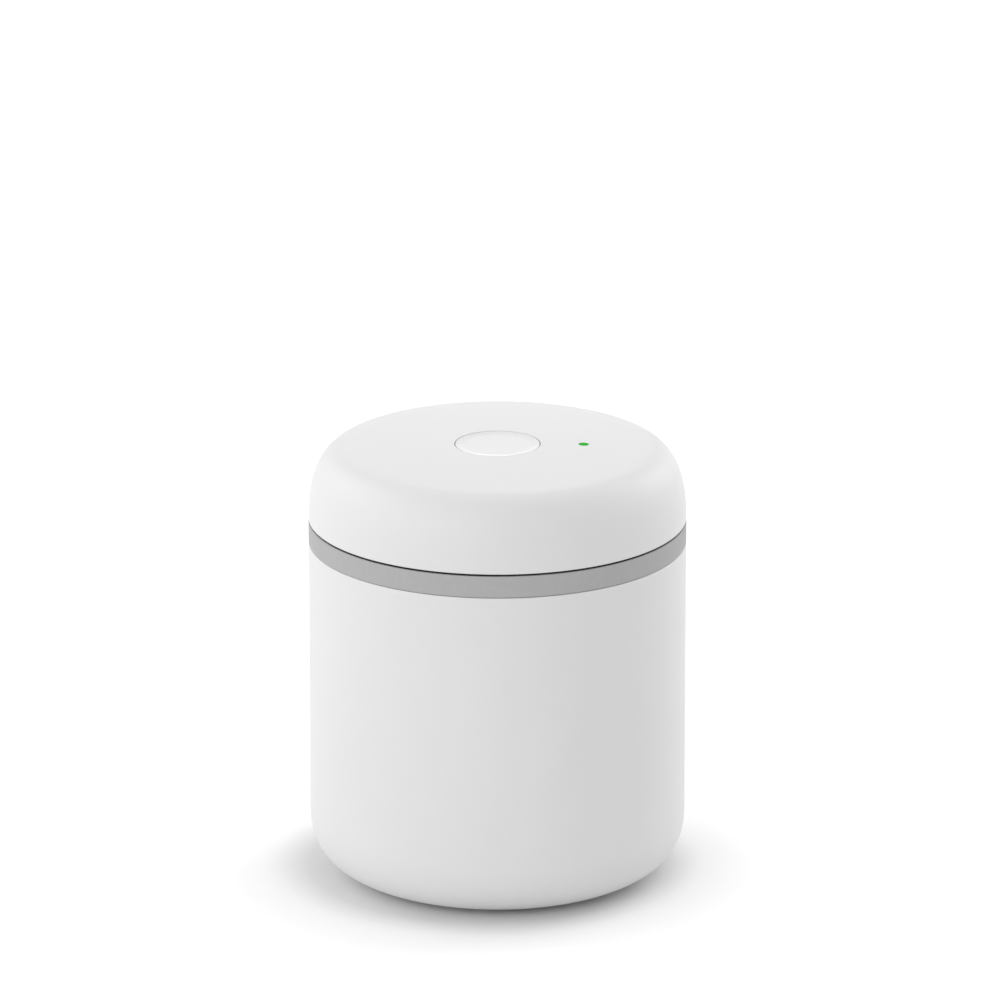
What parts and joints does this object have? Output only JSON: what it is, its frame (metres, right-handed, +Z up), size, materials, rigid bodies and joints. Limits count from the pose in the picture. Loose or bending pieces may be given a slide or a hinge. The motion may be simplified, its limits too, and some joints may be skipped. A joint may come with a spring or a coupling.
{
  "type": "vacuum seal canister",
  "caption": "Round vacuum storage canister: white steel cup, grey rim gasket and a domed lift-off lid with a push button, status light, electric pump and release valve.",
  "frame": {"origin": "middle of the foot ring's underside, on the table", "axes": "+Z up along the canister's axis, front towards -Y, status light towards +X, charging port towards +Y"},
  "size_m": [0.11, 0.11, 0.1299],
  "materials": {
    "white_coated_steel": "fine matte powder coat, bare steel inside",
    "white_plastic": "fine matte",
    "grey_silicone": "matte",
    "black_plastic": "fine matte",
    "clear_green_plastic": "clear, lit green",
    "black_rubber": "matte",
    "bright_steel": "plain bright",
    "copper": "enamelled or plain copper",
    "bronze": "sintered",
    "dark_iron": "dark",
    "white_acetal": "slippery satin",
    "board_laminate": "solder mask",
    "wrapped_cell": "shrink wrap",
    "clear_silicone": "milky clear",
    "felt": "pressed fibre",
    "wire_insulation": "satin"
  },
  "bodies": {
    "canister": {"canister_shell": "white_coated_steel", "foot_ring": "grey_silicone"},
    "lid": {"air_manifold": "black_plastic", "air_tubes": "clear_silicone", "base_screws": "bright_steel", "battery_cell": "wrapped_cell", "board_chips": "black_plastic", "button_frame": "black_plastic", "button_spring": "bright_steel", "cell_strap": "bright_steel", "cell_wires": "wire_insulation", "control_board": "board_laminate", "cover_screws": "bright_steel", "crank_case": "black_plastic", "diaphragm": "black_rubber", "filter_grille": "black_plastic", "lid_base": "black_plastic", "lid_gasket": "grey_silicone", "lid_screws": "bright_steel", "light_pipe": "clear_green_plastic", "manifold_seal": "black_rubber", "motor_bushes": "bronze", "motor_can": "bright_steel", "motor_end_cap": "black_plastic", "motor_magnets": "dark_iron", "motor_terminals": "copper", "motor_wires": "wire_insulation", "pressure_sensor": "black_plastic", "pump_boot": "black_rubber", "pump_flaps": "black_rubber", "pump_head": "black_plastic", "pump_screws": "bright_steel", "pump_strap": "bright_steel", "status_led": "clear_green_plastic", "suction_filter": "felt", "tact_switch": "black_plastic", "top_cover": "white_plastic", "usb_socket": "bright_steel", "usb_tongue": "black_plastic", "valve_bobbin": "black_plastic", "valve_coil": "copper", "valve_frame": "bright_steel", "valve_nozzle": "black_plastic", "valve_plate": "black_plastic", "valve_spring": "bright_steel", "valve_wires": "wire_insulation", "wire_plugs": "white_acetal"},
    "button": {"button_cap": "white_plastic"},
    "switch_plunger": {"switch_plunger": "black_plastic"},
    "rotor": {"motor_shaft": "bright_steel", "armature_core": "dark_iron", "armature_windings": "copper", "commutator": "copper", "eccentric": "white_acetal", "drive_pin": "bright_steel"},
    "swing_frame": {"swing_frame": "white_acetal"},
    "valve_plunger": {"valve_plunger": "bright_steel", "valve_tip": "black_rubber"}
  },
  "joints": [
    {"name": "lid_lift", "type": "slide", "parent": "canister", "child": "lid", "axis": [0, 0, 1], "range_m": [0, 0.08]},
    {"name": "button_press", "type": "slide", "parent": "lid", "child": "button", "axis": [0, 0, -1], "range_m": [0, 0.0008], "stiffness_N_per_m": 100, "springref_m": -0.0006, "deforming": ["button_spring"]},
    {"name": "switch_press", "type": "slide", "parent": "lid", "child": "switch_plunger", "axis": [0, 0, -1], "range_m": [0, 0.0008], "stiffness_N_per_m": 2, "springref_m": -0.00012},
    {"name": "pump_spin", "type": "hinge", "parent": "lid", "child": "rotor", "pos_m": [0, 0.02087, 0.1001], "axis": [1, 0, 0], "continuous": true, "deforming": ["diaphragm"]},
    {"name": "swing_nutation", "type": "hinge", "parent": "rotor", "child": "swing_frame", "pos_m": [0.015, 0.02087, 0.1001], "axis": [0.9925, -0.1219, 0], "continuous": true},
    {"name": "valve_lift", "type": "slide", "parent": "lid", "child": "valve_plunger", "axis": [-1, 0, 0], "range_m": [0, 0.0012], "stiffness_N_per_m": 40, "springref_m": -0.0005, "deforming": ["valve_spring"]}
  ],
  "couplings": [
    {"joint": "switch_press", "follows": "button_press", "ratio": 1},
    {"joint": "swing_nutation", "follows": "pump_spin", "ratio": -1}
  ]
}
